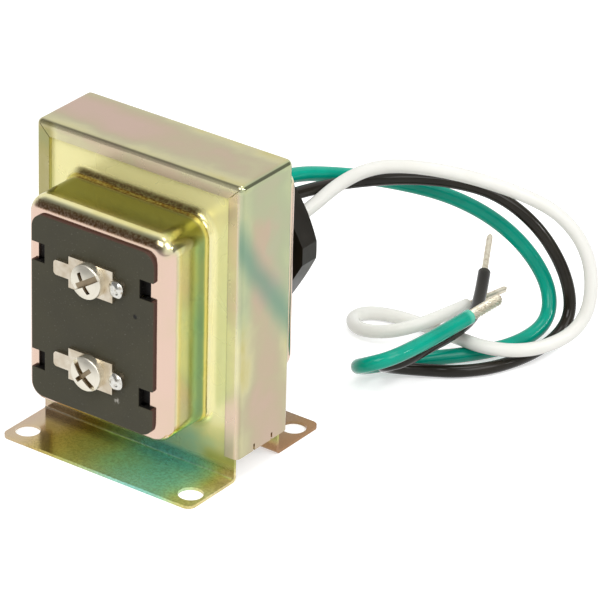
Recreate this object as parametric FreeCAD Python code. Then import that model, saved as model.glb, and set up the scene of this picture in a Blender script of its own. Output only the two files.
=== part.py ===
"""Doorbell transformer in millimetres: X to the right facing the terminals, Y to the rear, Z up.

The origin is the centre of the four foot holes, on the undersides of the feet.
"""
import FreeCAD, Part
import math
import os

V = FreeCAD.Vector
os.makedirs("parts", exist_ok=True)

# Core: a 57 mm scrapless EI lamination, standing on its short side
lam_height = 57.15
stack = 13.4
core_bottom = 6.6
leg = lam_height / 6
tongue = 2 * leg
window_length = lam_height / 2
lam_width = window_length + 2 * leg
core_z = core_bottom + lam_height / 2

# Wrap band
band_sheet = 0.9
side_gap = 0.28
lip = 3.2
band_bend = 1.1
corner_bend = 1.3
mitre_gap = 0.16
band_drop = 0.88
tab_width = 5.2
tab_reach = 9.0
tab_bend = 0.8
relief_width = 0.5
relief_height = 1.5

# Coil
bobbin_gap = 0.2
bobbin_wall = 0.8
flange_gap = 0.25
flange_rim = 0.6
flange_corner = 1.5
coil_corner = 3.5
tape = 0.3
coil_gap = 0.05

# Bell covers with feet
bell_sheet = 0.65
plate_gap = 0.5
plate_inset = 0.25
bend_inside = 0.4
foot_proud = 0.3
foot_corner = 1.8
hole_edge = 3.2625
hole_front = 4.5
hole_r = 2.55
boss_room = 4.475
boss_head = 0.975
boss_foot = 4.725
boss_side = 2.6125
boss_corner = 4.0
face_round = 2.6
base_round = 1.8

# Terminal board
board_side = 2.475
board_end = 2.6
board_left = 0.27
board_drop = 0.5
board_sheet = 0.9
board_corner = 2.8
board_edge = 0.2
window_side = 1.15
window_end = 2.9
window_corner = 1.0
spigot_gap = 0.15
spigot_wall = 1.2
spigot_depth = 2.4
pillar_wall = 1.2
pillar_depth = 3.8
notch_depth = 3.3
notch_height = 4.1
notch_pitch = 23.4
hook_wall = 1.2
hook_bite = 0.6
hook_lead_in = 1.0
hook_side = 0.3
snap_gap = 0.05

# Terminals
terminal_pitch = 19.9
terminal_drop = 0.15
terminal_sheet = 0.8
terminal_left = 5.3
terminal_right = 5.4
terminal_height = 6.7
left_tab = 9.0
left_tab_height = 3.2
right_tab = 7.85
right_tab_height = 3.3
tab_round = 0.8
screw_r = 1.7
screw_gap = 0.05
screw_clearance = 0.3
screw_length = 6.35
screw_point = 0.4
head_r = 3.6
head_height = 2.4
head_rim = 1.6
head_edge = 0.4
drive_depth = 1.2
slot_width = 1.25
cross_width = 0.9
cross_length = 4.6
slot_angles = {"upper": 32.0, "lower": -47.0}
joint_x = 6.6
joint_r = 2.6
joint_height = 1.2
joint_left = 2.0
joint_right = 1.6
joint_half = 1.9
wire_r = 0.45
wire_gap = 0.05
wire_hole_gap = 0.25
wire_lift = 0.3
wire_exit_x = -5.0
wire_exit_z = 2.0

# Hub in the rear cover
hub_rise = 0.9
hub_r = 10.4
hub_bore = 7.9
hub_gap = 0.1
hub_length = 10.7
hub_chamfer = 0.6
collar_r = 13.4
collar_height = 3.3
lug_height = 1.0
lug_bite = 0.9
lug_chamfer = 0.5
lug_slot = 2.4
nut_flats = 29.6
nut_facet = 1.2
nut_height = 5.8
nut_bevel = 0.6
nut_bevel_angle = 30.0

# Leads: insulation radius, conductor radius and bare length
lead_r = {"white": 1.25, "black": 1.25, "green": 1.5}
conductor_r = {"white": 0.62, "black": 0.62, "green": 1.05}
bare_length = {"white": 11.8, "black": 12.6, "green": 10.8}
crimp_length = 4.2
crimp_r = 1.0
sleeve_wall = 0.4
sleeve_gap = 0.05
sleeve_lap = 1.4
sleeve_end = 0.4
leadout_r = 0.3
leadout_turn = 1.2
leadout_edge = 0.94
ground_lift = 0.3
ground_barrel_r = 1.4
ground_barrel = 4.0
ground_sheet = 0.8
ground_width = 4.0
ground_foot = 5.0

# Shared positions; a cut runs past its faces by over, an edge is found to within near
over = 1.0
near = 0.01
plate_in = stack / 2
plate_out = plate_in + bell_sheet
plate_width = lam_width - 2 * plate_inset
plate_top = core_bottom + lam_height - plate_gap
band_x = lam_width / 2 + side_gap + band_sheet
band_y = plate_out + band_sheet
band_top = core_bottom + lam_height + band_sheet
band_bottom = core_bottom - band_drop
tube_y = plate_in + bobbin_gap + bobbin_wall
tube_z = leg + bobbin_gap + bobbin_wall
flange_z = tongue - flange_gap
build = flange_z - flange_rim - tube_z
coil_y = tube_y + build
coil_z = tube_z + build
flange_y = coil_y + flange_rim
tape_y = coil_y + tape
bobbin_half = window_length / 2 - flange_gap
boss_face = flange_y + boss_room + bell_sheet
boss_top = core_z + flange_z + boss_head + bell_sheet
boss_bottom = core_z - flange_z - boss_foot - bell_sheet
boss_height = boss_top - boss_bottom
boss_z = (boss_top + boss_bottom) / 2
boss_width = 2 * (bobbin_half + boss_side + bell_sheet)
foot_reach = boss_face + foot_proud
hole_x = plate_width / 2 - hole_edge
hole_y = foot_reach - hole_front
board_width = boss_width - 2 * board_side
board_height = boss_height - 2 * board_end
board_place = V(-board_left, 0, -board_drop)
window_width = board_width - 2 * window_side
window_height = board_height - 2 * window_end
board_back = -boss_face
board_front = board_back - board_sheet
plate_front = board_front - terminal_sheet
terminal_z = boss_z - terminal_drop
terminals = {"upper": terminal_z + terminal_pitch / 2, "lower": terminal_z - terminal_pitch / 2}
hub_z = boss_z + hub_rise
hub_end = boss_face + hub_length
lug_end = boss_face - bell_sheet - snap_gap - lug_height
nut_seat = boss_face + collar_height
splice_x = bobbin_half - bobbin_wall - leadout_edge - leadout_r - leadout_turn - crimp_length
splice_y = tape_y + sleeve_wall + 2 * sleeve_gap + lead_r["white"]


def block(x, y, z):
    """Box between the two values of each pair."""
    return Part.makeBox(x[1] - x[0], y[1] - y[0], z[1] - z[0], V(x[0], y[0], z[0]))


def edges_along(shape, axis, keep=lambda point: True):
    """Straight edges that run along an axis, at the places kept."""
    found = []
    for edge in shape.Edges:
        if len(edge.Vertexes) < 2:
            continue
        line = edge.Vertexes[1].Point.sub(edge.Vertexes[0].Point)
        if abs(abs(line.dot(axis)) - edge.Length) < 1e-6 and keep(edge.CenterOfMass):
            found.append(edge)
    return found


def edges_at(shape, y, keep=lambda point: True):
    """Edges that lie wholly in the plane at y."""
    flat = [e for e in shape.Edges if all(abs(v.Point.y - y) < 1e-6 for v in e.Vertexes)]
    return [e for e in flat if abs(e.CenterOfMass.y - y) < 1e-6 and keep(e.CenterOfMass)]


def pad(width, height, corner, y0, y1, z):
    """Rounded rectangle centred on X 0 and z, between y0 and y1."""
    box = block((-width / 2, width / 2), (y0, y1), (z - height / 2, z + height / 2))
    return box.makeFillet(corner, edges_along(box, V(0, 1, 0)))


def rod(radius, y0, y1, x, z):
    """Round bar along Y."""
    return Part.makeCylinder(radius, y1 - y0, V(x, y0, z), V(0, 1, 0))


def prism(points, direction):
    """Straight-sided prism from a closed outline."""
    return Part.Face(Part.makePolygon(points + [points[0]])).extrude(direction)


def path_of(points):
    """Straight runs joined by tangent arcs, and the radius of each arc."""
    points = [V(*p) for p in points]
    edges = []
    radii = []
    start = points[0]
    for before, corner, after in zip(points, points[1:], points[2:]):
        back = before.sub(corner)
        ahead = after.sub(corner)
        trim = 0.45 * min(back.Length, ahead.Length)
        back.normalize()
        ahead.normalize()
        half_turn = (math.pi - back.getAngle(ahead)) / 2
        radius = trim / math.tan(half_turn)
        middle = back.add(ahead)
        middle.normalize()
        centre = corner.add(middle.multiply(radius / math.cos(half_turn)))
        outward = corner.sub(centre)
        outward.normalize()
        arc_start = corner.add(back.multiply(trim))
        arc_end = corner.add(ahead.multiply(trim))
        arc_middle = centre.add(outward.multiply(radius))
        edges.append(Part.LineSegment(start, arc_start).toShape())
        edges.append(Part.Arc(arc_start, arc_middle, arc_end).toShape())
        radii.append(round(radius, 1))
        start = arc_end
    edges.append(Part.LineSegment(start, points[-1]).toShape())
    return Part.Wire(edges), radii


def tube(points, radius):
    """Round tube along a path, with the path and its arc radii."""
    path, radii = path_of(points)
    first = V(*points[1]).sub(V(*points[0]))
    circle = Part.Wire(Part.Circle(V(*points[0]), first, radius).toShape())
    return path.makePipeShell([circle], True, False), path, radii


def save(name, shape):
    shape.exportStep(f"parts/{name}.step")


# Wrap band: a channel bent round three sides of the core, its lips mitred at the top corners
def wrap_band():
    body = block((-band_x, band_x), (-band_y, band_y), (band_bottom, band_top))
    body = body.makeFillet(corner_bend, edges_along(body, V(0, 1, 0), lambda p: p.z > core_z))
    rims = edges_at(body, band_y) + edges_at(body, -band_y)
    body = body.makeFillet(band_bend, [e for e in rims if e.CenterOfMass.z > core_bottom])
    inner_x = band_x - band_sheet
    inside = block((-inner_x, inner_x), (-plate_out, plate_out), (0, band_top - band_sheet))
    mouth = block((lip - band_x, band_x - lip), (-band_y - over, band_y + over), (0, band_top - lip))
    body = body.cut(inside).cut(mouth)
    for side in (-1, 1):
        body = body.cut(mitre(side)).fuse(bottom_tab(side))
        for end in (-1, 1):
            body = body.cut(relief(side, end))
    return body.removeSplitter()


def mitre(side):
    slit = block((-mitre_gap / 2, mitre_gap / 2), (-band_y - over, band_y + over), (-lip, lip))
    slit.rotate(V(0, 0, 0), V(0, 1, 0), side * 45)
    slit.translate(V(side * (band_x - lip), 0, band_top - lip))
    return slit.cut(block((-band_x, band_x), (-plate_out, plate_out), (0, band_top)))


def bottom_tab(side):
    low = core_bottom - band_sheet
    y = (-tab_width / 2, tab_width / 2)
    leaf = block((band_x - tab_reach, band_x), y, (low, core_bottom))
    leaf = leaf.fuse(block((band_x - band_sheet, band_x), y, (low, core_bottom + over))).removeSplitter()
    heel = edges_along(leaf, V(0, 1, 0), lambda p: p.x > band_x - near and p.z < low + near)
    leaf = leaf.makeFillet(tab_bend, heel)
    return leaf if side > 0 else leaf.mirror(V(0, 0, 0), V(1, 0, 0))


def relief(side, end):
    x = sorted((side * (band_x - band_sheet - over / 2), side * (band_x + over)))
    y = end * (tab_width + relief_width) / 2
    return block(x, (y - relief_width / 2, y + relief_width / 2), (0, band_bottom + relief_height))


# Bell cover: plate against the core, foot turned outwards and hollow boss over the coil
def foot_plate():
    turn = bend_inside + bell_sheet
    s = 1 - math.sqrt(0.5)

    def at(y, z):
        return V(-plate_width / 2, -y, z)

    under = (at(plate_in, turn), at(plate_in + turn * s, turn * s), at(plate_in + turn, 0))
    top = (
        at(plate_out + bend_inside, bell_sheet),
        at(plate_out + bend_inside * s, bell_sheet + bend_inside * s),
        at(plate_out, bell_sheet + bend_inside),
    )
    rim = [
        Part.LineSegment(at(plate_in, plate_top), under[0]),
        Part.Arc(*under),
        Part.LineSegment(under[2], at(foot_reach, 0)),
        Part.LineSegment(at(foot_reach, 0), at(foot_reach, bell_sheet)),
        Part.LineSegment(at(foot_reach, bell_sheet), top[0]),
        Part.Arc(*top),
        Part.LineSegment(top[2], at(plate_out, plate_top)),
        Part.LineSegment(at(plate_out, plate_top), at(plate_in, plate_top)),
    ]
    sheet = Part.Face(Part.Wire([piece.toShape() for piece in rim])).extrude(V(plate_width, 0, 0))
    sheet = sheet.makeFillet(foot_corner, edges_along(sheet, V(0, 0, 1), lambda p: p.y < -boss_face))
    for x in (-hole_x, hole_x):
        sheet = sheet.cut(Part.makeCylinder(hole_r, bell_sheet + 2 * over, V(x, -hole_y, -over)))
    return sheet


def bell():
    boss = pad(boss_width, boss_height, boss_corner, -boss_face, -plate_in, boss_z)
    boss = boss.makeFillet(face_round, edges_at(boss, -boss_face))
    cover = foot_plate().fuse(boss).removeSplitter()

    def on_boss(p):
        beside = abs(p.x) - boss_width / 2
        above = abs(p.z - boss_z) - boss_height / 2
        return max(beside, above) < near

    cover = cover.makeFillet(base_round, edges_at(cover, -plate_out, on_boss))
    width = boss_width - 2 * bell_sheet
    height = boss_height - 2 * bell_sheet
    hollow = pad(width, height, boss_corner - bell_sheet, bell_sheet - boss_face, over - plate_in, boss_z)
    hollow = hollow.makeFillet(face_round - bell_sheet, edges_at(hollow, bell_sheet - boss_face))
    cover = cover.cut(hollow)
    return cover.makeFillet(base_round + bell_sheet, edges_at(cover, -plate_in, on_boss))


def front_bell():
    depth = (-boss_face - over, bell_sheet + over - boss_face)
    window = pad(window_width, window_height, window_corner, *depth, boss_z)
    return bell().cut(window.translated(board_place))


def rear_bell():
    cover = bell().mirror(V(0, 0, 0), V(0, 1, 0))
    return cover.cut(rod(hub_r + hub_gap, boss_face - bell_sheet - over, boss_face + over, 0, hub_z))


# Core: E stack with its yoke on the right, closed by the I stack on the left
def core():
    y = (-plate_in, plate_in)
    z = (core_bottom, core_bottom + lam_height)
    edge = window_length / 2
    e_stack = block((-edge, lam_width / 2), y, z)
    for low in (core_z - tongue, core_z + leg):
        e_stack = e_stack.cut(block((-edge, edge), y, (low, low + leg)))
    return e_stack, block((-lam_width / 2, -edge), y, z)


# Coil: bobbin with a middle partition, one winding each side and a tape wrap on each
def sleeve_block(x, y, z, corner):
    body = block(x, (-y, y), (core_z - z, core_z + z))
    return body.makeFillet(corner, edges_along(body, V(1, 0, 0)))


def bobbin():
    body = block((-bobbin_half, bobbin_half), (-tube_y, tube_y), (core_z - tube_z, core_z + tube_z))
    for x in (-bobbin_half, -bobbin_wall / 2, bobbin_half - bobbin_wall):
        body = body.fuse(sleeve_block((x, x + bobbin_wall), flange_y, flange_z, flange_corner))
    bore_y = plate_in + bobbin_gap
    bore_z = leg + bobbin_gap
    bore = block((-lam_width, lam_width), (-bore_y, bore_y), (core_z - bore_z, core_z + bore_z))
    return body.cut(bore).removeSplitter()


def winding(side):
    inner = bobbin_wall / 2 + coil_gap
    outer = bobbin_half - bobbin_wall - coil_gap
    x = sorted((side * inner, side * outer))
    body = sleeve_block(x, coil_y, coil_z, coil_corner)
    wrap = sleeve_block(x, tape_y, coil_z + tape, coil_corner + tape)
    former = block((-lam_width, lam_width), (-tube_y, tube_y), (core_z - tube_z, core_z + tube_z))
    return body.cut(former), wrap.cut(body).cut(former)


# Terminal board: moulded plate clipped into the front window, notched over its four hooks
def terminal_board():
    body = pad(board_width, board_height, board_corner, board_front, board_back, boss_z)
    body = body.makeFillet(board_edge, edges_at(body, board_front))
    width = window_width - 2 * spigot_gap
    height = window_height - 2 * spigot_gap
    end = board_back + spigot_depth
    body = body.fuse(pad(width, height, window_corner, board_back, end, boss_z))
    width -= 2 * spigot_wall
    height -= 2 * spigot_wall
    body = body.cut(pad(width, height, window_corner, board_back, end, boss_z))
    for side in (-1, 1):
        for z in (boss_z - notch_pitch / 2, boss_z + notch_pitch / 2):
            body = body.cut(notch(side, z)).fuse(hook(side, z))
    body.translate(board_place)
    pillar_r = screw_r + screw_clearance + pillar_wall
    for z in terminals.values():
        body = body.fuse(rod(pillar_r, board_back, board_back + pillar_depth, 0, z))
    for z in terminals.values():
        body = body.cut(rod(screw_r + screw_clearance, board_front - over, 0, 0, z))
        body = body.cut(rod(wire_r + wire_hole_gap, board_front - over, 0, joint_x, z))
    return body.removeSplitter()


def notch(side, z):
    x = sorted((side * (board_width / 2 - notch_depth), side * (board_width / 2 + over)))
    return block(x, (board_front - over, 0), (z - notch_height / 2, z + notch_height / 2))


def hook(side, z):
    root = board_width / 2 - notch_depth
    tip = window_width / 2 + hook_bite
    latch = board_back + bell_sheet + snap_gap
    end = latch + hook_bite + hook_lead_in
    profile = [
        (root - hook_wall, board_back),
        (root, board_back),
        (root, latch),
        (tip, latch),
        (tip, latch + hook_bite),
        (root, end),
        (root - hook_wall, end),
    ]
    half = notch_height / 2 - hook_side
    return prism([V(side * x, y, z - half) for x, y in profile], V(0, 0, 2 * half))


# Screw terminals: plate with a left tab and a soldered right tab, and a binding-head screw
def terminal_plate(z):
    half = terminal_height / 2
    left = left_tab_height / 2
    right = right_tab_height / 2
    rim = [
        (-terminal_left, -half), (terminal_right, -half), (terminal_right, -right), (right_tab, -right),
        (right_tab, right), (terminal_right, right), (terminal_right, half), (-terminal_left, half),
        (-terminal_left, left), (-left_tab, left), (-left_tab, -left), (-terminal_left, -left),
    ]
    body = prism([V(x, plate_front, z + dz) for x, dz in rim], V(0, terminal_sheet, 0))
    tips = edges_along(body, V(0, 1, 0), lambda p: p.x < near - left_tab or p.x > right_tab - near)
    body = body.makeFillet(tab_round, tips)
    body = body.cut(rod(screw_r + screw_gap, plate_front - over, board_back, 0, z))
    return body.cut(rod(wire_r + wire_gap, plate_front - over, board_back, joint_x, z))


def terminal_screw(z, angle):
    crown = head_height - head_rim
    ball = (head_r ** 2 + crown ** 2) / (2 * crown)
    head = rod(head_r, -head_height, 0, 0, 0).common(Part.makeSphere(ball, V(0, ball - head_height, 0)))
    head = head.makeFillet(head_edge, edges_at(head, -head_rim))
    depth = (-head_height - over, drive_depth - head_height)
    head = head.cut(block((-2 * head_r, 2 * head_r), depth, (-slot_width / 2, slot_width / 2)))
    head = head.cut(block((-cross_width / 2, cross_width / 2), depth, (-cross_length / 2, cross_length / 2)))
    shank = rod(screw_r, 0, screw_length, 0, 0)
    shank = shank.makeChamfer(screw_point, edges_at(shank, screw_length))
    body = head.fuse(shank).removeSplitter()
    body.rotate(V(0, 0, 0), V(0, 1, 0), -angle)
    body.translate(V(0, plate_front, z))
    return body


def solder_joint(z):
    ball = Part.makeSphere(joint_r, V(joint_x, plate_front + joint_r - joint_height, z))
    depth = (plate_front - joint_r, plate_front)
    x = (joint_x - joint_left, joint_x + joint_right)
    return ball.common(block(x, depth, (z - joint_half, z + joint_half)))


def secondary_lead(z):
    start_z = terminal_z + math.copysign(wire_exit_z, z - terminal_z)
    run_y = -flange_y - wire_r - wire_lift
    path = [
        (wire_exit_x, -tape_y, start_z),
        (wire_exit_x, run_y, start_z),
        (joint_x, run_y, z),
        (joint_x, plate_front, z),
    ]
    return tube(path, wire_r)[0]


# Hub: threaded nipple snapped into the rear cover, with its locknut
def hub_nipple():
    body = rod(hub_r, lug_end, hub_end, 0, hub_z)
    body = body.makeChamfer(hub_chamfer, edges_at(body, hub_end))
    lugs = rod(hub_r + lug_bite, lug_end, lug_end + lug_height, 0, hub_z)
    lugs = lugs.makeChamfer(lug_chamfer, edges_at(lugs, lug_end))
    body = body.fuse(lugs).fuse(rod(collar_r, boss_face, nut_seat, 0, hub_z))
    body = body.cut(rod(hub_bore, 0, hub_end + over, 0, hub_z))
    for turn in (45, -45):
        gap = block((-collar_r, collar_r), (0, boss_face - bell_sheet / 2), (-lug_slot / 2, lug_slot / 2))
        gap.rotate(V(0, 0, 0), V(0, 1, 0), turn)
        gap.translate(V(0, 0, hub_z))
        body = body.cut(gap)
    return body.removeSplitter()


def hexagon(flats, turn):
    radius = flats / math.sqrt(3)
    angles = [math.radians(turn + 60 * k) for k in range(6)]
    points = [V(radius * math.cos(a), nut_seat, hub_z + radius * math.sin(a)) for a in angles]
    return prism(points, V(0, nut_height, 0))


def hub_locknut():
    body = hexagon(nut_flats, 0).common(hexagon(nut_flats + 2 * nut_facet, 30))
    wide = nut_flats / math.sqrt(3)
    narrow = nut_flats / 2 - nut_bevel
    slope = (wide - narrow) * math.tan(math.radians(nut_bevel_angle))
    shoulder = nut_seat + nut_height - slope
    cone = Part.makeCone(wide, narrow, slope, V(0, shoulder, hub_z), V(0, 1, 0))
    body = body.common(cone.fuse(rod(wide, nut_seat, shoulder, 0, hub_z)))
    return body.cut(rod(hub_r + hub_gap, nut_seat, nut_seat + nut_height, 0, hub_z)).removeSplitter()


# Leads: from the splice inside the rear cover, out through the hub, to the stripped end
routes = {
    "white": [
        (splice_x, splice_y, 30.0), (3.8, splice_y, 30.0), (2.2, 19.4, 30.2), (1.8, 24.0, 30.8),
        (2.2, 31.0, 31.8), (3.6, 44.0, 32.4), (6.5, 51.9, 36.3), (10.5, 57.3, 39.2), (16.5, 62.1, 40.1),
        (25.0, 67.7, 38.6), (34.5, 73.8, 35.2), (42.0, 78.7, 30.6), (47.5, 81.0, 22.5), (49.5, 79.6, 13.0),
        (48.5, 76.0, 7.2), (45.4, 69.4, 5.2), (41.3, 64.2, 5.0), (35.5, 61.5, 5.1), (29.8, 62.3, 4.6),
        (20.5, 66.9, 1.9), (11.0, 68.2, 1.3), (4.0, 66.0, 1.3), (2.7, 61.0, 1.3), (7.7, 55.8, 1.7),
        (14.4, 56.9, 3.2), (19.1, 60.8, 4.9), (21.2, 68.0, 5.2), (22.2, 74.0, 5.1),
    ],
    "black": [
        (splice_x, splice_y, 39.0), (3.6, splice_y, 39.0), (1.2, 19.4, 38.8), (0.2, 24.0, 38.4),
        (0.2, 31.0, 37.9), (0.8, 44.3, 36.4), (4.0, 55.4, 35.2), (10.0, 66.4, 33.9), (17.5, 73.6, 32.8),
        (25.4, 79.1, 30.3), (32.6, 83.3, 24.0), (38.1, 85.4, 15.7), (41.1, 85.3, 7.9), (42.1, 81.8, 3.4),
        (41.5, 73.4, 1.3), (39.0, 62.5, 1.3), (33.9, 55.5, 1.3), (27.8, 51.7, 1.3), (23.1, 47.5, 2.2),
        (22.8, 43.3, 4.2), (25.8, 41.0, 6.2), (29.0, 42.8, 7.0), (30.0, 49.3, 7.3), (30.7, 57.9, 7.3),
        (29.1, 66.8, 7.1), (25.3, 74.9, 7.3), (21.1, 82.5, 9.2),
    ],
    "green": [
        (-8.0, splice_y + ground_lift, 33.4), (-5.4, splice_y + ground_lift, 33.4), (-3.6, 19.4, 34.4),
        (-3.2, 24.0, 35.8), (-3.2, 31.0, 37.0), (-2.8, 47.8, 37.9), (1.0, 59.6, 34.5), (7.5, 70.2, 30.6),
        (15.5, 76.9, 27.6), (23.5, 81.9, 22.8), (30.0, 85.4, 16.1), (35.5, 85.6, 9.0), (38.1, 81.4, 3.6),
        (36.7, 73.2, 1.5), (32.2, 63.3, 1.5), (22.2, 51.9, 1.5), (18.9, 44.2, 2.3), (20.0, 38.3, 5.2),
        (24.4, 35.0, 8.4), (28.4, 38.0, 9.9), (30.0, 44.9, 10.3), (30.7, 53.7, 10.3), (30.9, 62.5, 10.2),
    ],
}


def lead(colour):
    body, path, radii = tube(routes[colour], lead_r[colour])
    section = math.pi * lead_r[colour] ** 2 * path.Length
    print(colour, "length", round(path.Length, 1), "arc radii", radii)
    print(colour, "volume", round(body.Volume), "section times length", round(section))
    return body


def bare_end(colour):
    end = V(*routes[colour][-1])
    along = end.sub(V(*routes[colour][-2]))
    return Part.makeCylinder(conductor_r[colour], bare_length[colour], end, along)


def splice(colour):
    x, y, z = routes[colour][0]
    barrel = Part.makeCylinder(crimp_r, crimp_length, V(x, y, z), V(1, 0, 0))
    bore = lead_r[colour] + sleeve_gap
    start = V(x - sleeve_lap, y, z)
    length = sleeve_lap + crimp_length + sleeve_end
    cover = Part.makeCylinder(bore + sleeve_wall, length, start, V(1, 0, 0))
    cover = cover.cut(Part.makeCylinder(bore, length, start, V(1, 0, 0)))
    end = x + crimp_length
    wire = tube([(end, y, z), (end + leadout_turn, y, z), (end + leadout_turn, tape_y, z)], leadout_r)[0]
    return barrel, cover, wire


# Ground tab: barrel on the green conductor and a foot welded to the side of the rear boss
def ground_tab():
    x, y, z = routes["green"][0]
    wall = bell_sheet - boss_width / 2
    barrel = Part.makeCylinder(ground_barrel_r, ground_barrel, V(x, y, z), V(-1, 0, 0))
    width = (z - ground_width / 2, z + ground_width / 2)
    top = y + ground_sheet / 2
    strip = block((wall, x - ground_barrel + ground_sheet), (top - ground_sheet, top), width)
    foot = block((wall, wall + ground_sheet), (top - ground_foot, top), width)
    return barrel.fuse(strip).fuse(foot).removeSplitter()


save("wrap_band", wrap_band())
save("front_bell", front_bell())
save("rear_bell", rear_bell())
e_stack, i_stack = core()
save("core_e_stack", e_stack)
save("core_i_stack", i_stack)
save("bobbin", bobbin())
for name, side in (("primary", 1), ("secondary", -1)):
    copper, wrap = winding(side)
    save(f"{name}_winding", copper)
    save(f"{name}_tape", wrap)
save("terminal_board", terminal_board())
for name, z in terminals.items():
    save(f"terminal_plate_{name}", terminal_plate(z))
    save(f"terminal_screw_{name}", terminal_screw(z, slot_angles[name]))
    save(f"solder_joint_{name}", solder_joint(z))
    save(f"secondary_lead_{name}", secondary_lead(z))
save("hub_nipple", hub_nipple())
save("hub_locknut", hub_locknut())
for colour in routes:
    save(f"lead_{colour}", lead(colour))
    save(f"conductor_{colour}", bare_end(colour))
for colour in ("black", "white"):
    barrel, cover, wire = splice(colour)
    save(f"crimp_{colour}", barrel)
    save(f"sleeve_{colour}", cover)
    save(f"leadout_{colour}", wire)
save("ground_tab", ground_tab())
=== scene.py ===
"""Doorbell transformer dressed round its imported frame, in metres: X right, Y to the rear, Z up."""
import bpy
import math
import numpy as np
from mathutils import Matrix


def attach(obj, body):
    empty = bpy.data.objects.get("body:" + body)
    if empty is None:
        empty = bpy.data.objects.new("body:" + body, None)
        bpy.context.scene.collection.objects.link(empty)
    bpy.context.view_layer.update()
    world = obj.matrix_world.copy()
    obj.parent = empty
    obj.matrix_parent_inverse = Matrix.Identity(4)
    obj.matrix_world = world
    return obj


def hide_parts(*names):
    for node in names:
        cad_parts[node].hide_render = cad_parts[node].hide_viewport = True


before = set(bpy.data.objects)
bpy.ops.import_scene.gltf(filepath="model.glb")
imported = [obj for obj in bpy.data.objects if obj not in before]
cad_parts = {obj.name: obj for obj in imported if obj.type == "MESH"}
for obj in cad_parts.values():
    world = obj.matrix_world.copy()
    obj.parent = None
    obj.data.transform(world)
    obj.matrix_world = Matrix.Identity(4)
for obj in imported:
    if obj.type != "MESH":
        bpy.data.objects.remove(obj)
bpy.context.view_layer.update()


# Coil
# A moulded nylon bobbin wound with enamelled copper on each side of its partition.
# Each winding is wrapped in yellow polyester tape, and the coil sits on the core's middle leg.
MM = 0.001


def new_material(name, metallic, roughness):
    """Material with its node tree and its Principled shader."""
    material = bpy.data.materials.new(name)
    material.use_nodes = True
    shader = material.node_tree.nodes["Principled BSDF"]
    shader.inputs["Metallic"].default_value = metallic
    shader.inputs["Roughness"].default_value = roughness
    return material, material.node_tree, shader


def node(tree, kind, inputs, **settings):
    """Shader node with its settings; each input takes a constant or another node's output."""
    made = tree.nodes.new("ShaderNode" + kind)
    for name, value in settings.items():
        setattr(made, name, value)
    for name, value in inputs.items():
        if isinstance(value, bpy.types.NodeSocket):
            tree.links.new(value, made.inputs[name])
        else:
            made.inputs[name].default_value = value
    return made


def place_on(tree):
    """The piece's own coordinates, in metres."""
    return node(tree, "TexCoord", {}).outputs["Object"]


def noise(tree, place, scale, detail=2.0, distortion=0.0):
    """Noise value round 0.5, with its scale in turns per metre."""
    inputs = {"Vector": place, "Scale": scale, "Detail": detail, "Distortion": distortion}
    return node(tree, "TexNoise", inputs).outputs["Fac"]


def spread(tree, value, low, high, start, end, smooth=False):
    """A value between low and high carried to the range from start to end."""
    kind = "SMOOTHSTEP" if smooth else "LINEAR"
    inputs = {"Value": value, "From Min": low, "From Max": high, "To Min": start, "To Max": end}
    return node(tree, "MapRange", inputs, interpolation_type=kind).outputs["Result"]


def ramp(tree, value, stops, interpolation="LINEAR"):
    """Colour ramp with stops of position and linear colour."""
    made = node(tree, "ValToRGB", {"Fac": value})
    band = made.color_ramp
    band.interpolation = interpolation
    while len(band.elements) < len(stops):
        band.elements.new(0.5)
    for element, (position, colour) in zip(band.elements, stops):
        element.position = position
        element.color = (*colour, 1)
    return made.outputs["Color"]


def bump(tree, shader, height, distance):
    """Height in parts of a distance in metres, sent to the shader's normal."""
    raised = node(tree, "Bump", {"Height": height, "Distance": distance, "Strength": 1.0})
    tree.links.new(raised.outputs["Normal"], shader.inputs["Normal"])


def dress(name, material):
    """Puts a material on a node of the frame."""
    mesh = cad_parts[name].data
    mesh.materials.clear()
    mesh.materials.append(material)


nylon, tree, shader = new_material("natural_nylon", 0.0, 0.45)
cloud = noise(tree, place_on(tree), 120.0, 3.0)
cream = ramp(tree, cloud, [(0.3, (0.70, 0.65, 0.50)), (0.7, (0.80, 0.76, 0.63))])
tree.links.new(cream, shader.inputs["Base Color"])
bump(tree, shader, noise(tree, place_on(tree), 1500.0), 0.02 * MM)
dress("bobbin", nylon)

copper, tree, shader = new_material("enamelled_copper", 1.0, 0.3)
turns_per_metre = 380.0
bands_per_scale = 3.2
row_scale = turns_per_metre / bands_per_scale
rows = node(tree, "TexWave", {"Vector": place_on(tree), "Scale": row_scale, "Distortion": 0.4},
            bands_direction="X", wave_profile="SIN").outputs["Fac"]
# Dark bands between the turns are painted shade in the crevices between the wires.
wire_tint = ramp(tree, rows, [
    (0.0, (0.10, 0.03, 0.012)), (0.6, (0.50, 0.17, 0.07)), (1.0, (0.62, 0.26, 0.11))])
tree.links.new(wire_tint, shader.inputs["Base Color"])
tree.links.new(spread(tree, rows, 0, 1, 0.5, 0.25), shader.inputs["Roughness"])
bump(tree, shader, rows, 0.12 * MM)
coil_wires = ("secondary_lead_upper", "secondary_lead_lower", "leadout_white", "leadout_black")
for name in ("primary_winding", "secondary_winding") + coil_wires:
    dress(name, copper)

tape, tree, shader = new_material("coil_tape", 0.0, 0.35)
laps = node(tree, "TexWave", {"Vector": place_on(tree), "Scale": 42.0, "Distortion": 1.2},
            bands_direction="X", wave_profile="SAW").outputs["Fac"]
amber = ramp(tree, laps, [
    (0.0, (0.52, 0.36, 0.06)), (0.15, (0.70, 0.52, 0.12)), (1.0, (0.64, 0.46, 0.09))])
tree.links.new(amber, shader.inputs["Base Color"])
bump(tree, shader, laps, 0.05 * MM)
for name in ("primary_tape", "secondary_tape", "sleeve_white", "sleeve_black"):
    dress(name, tape)


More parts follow.
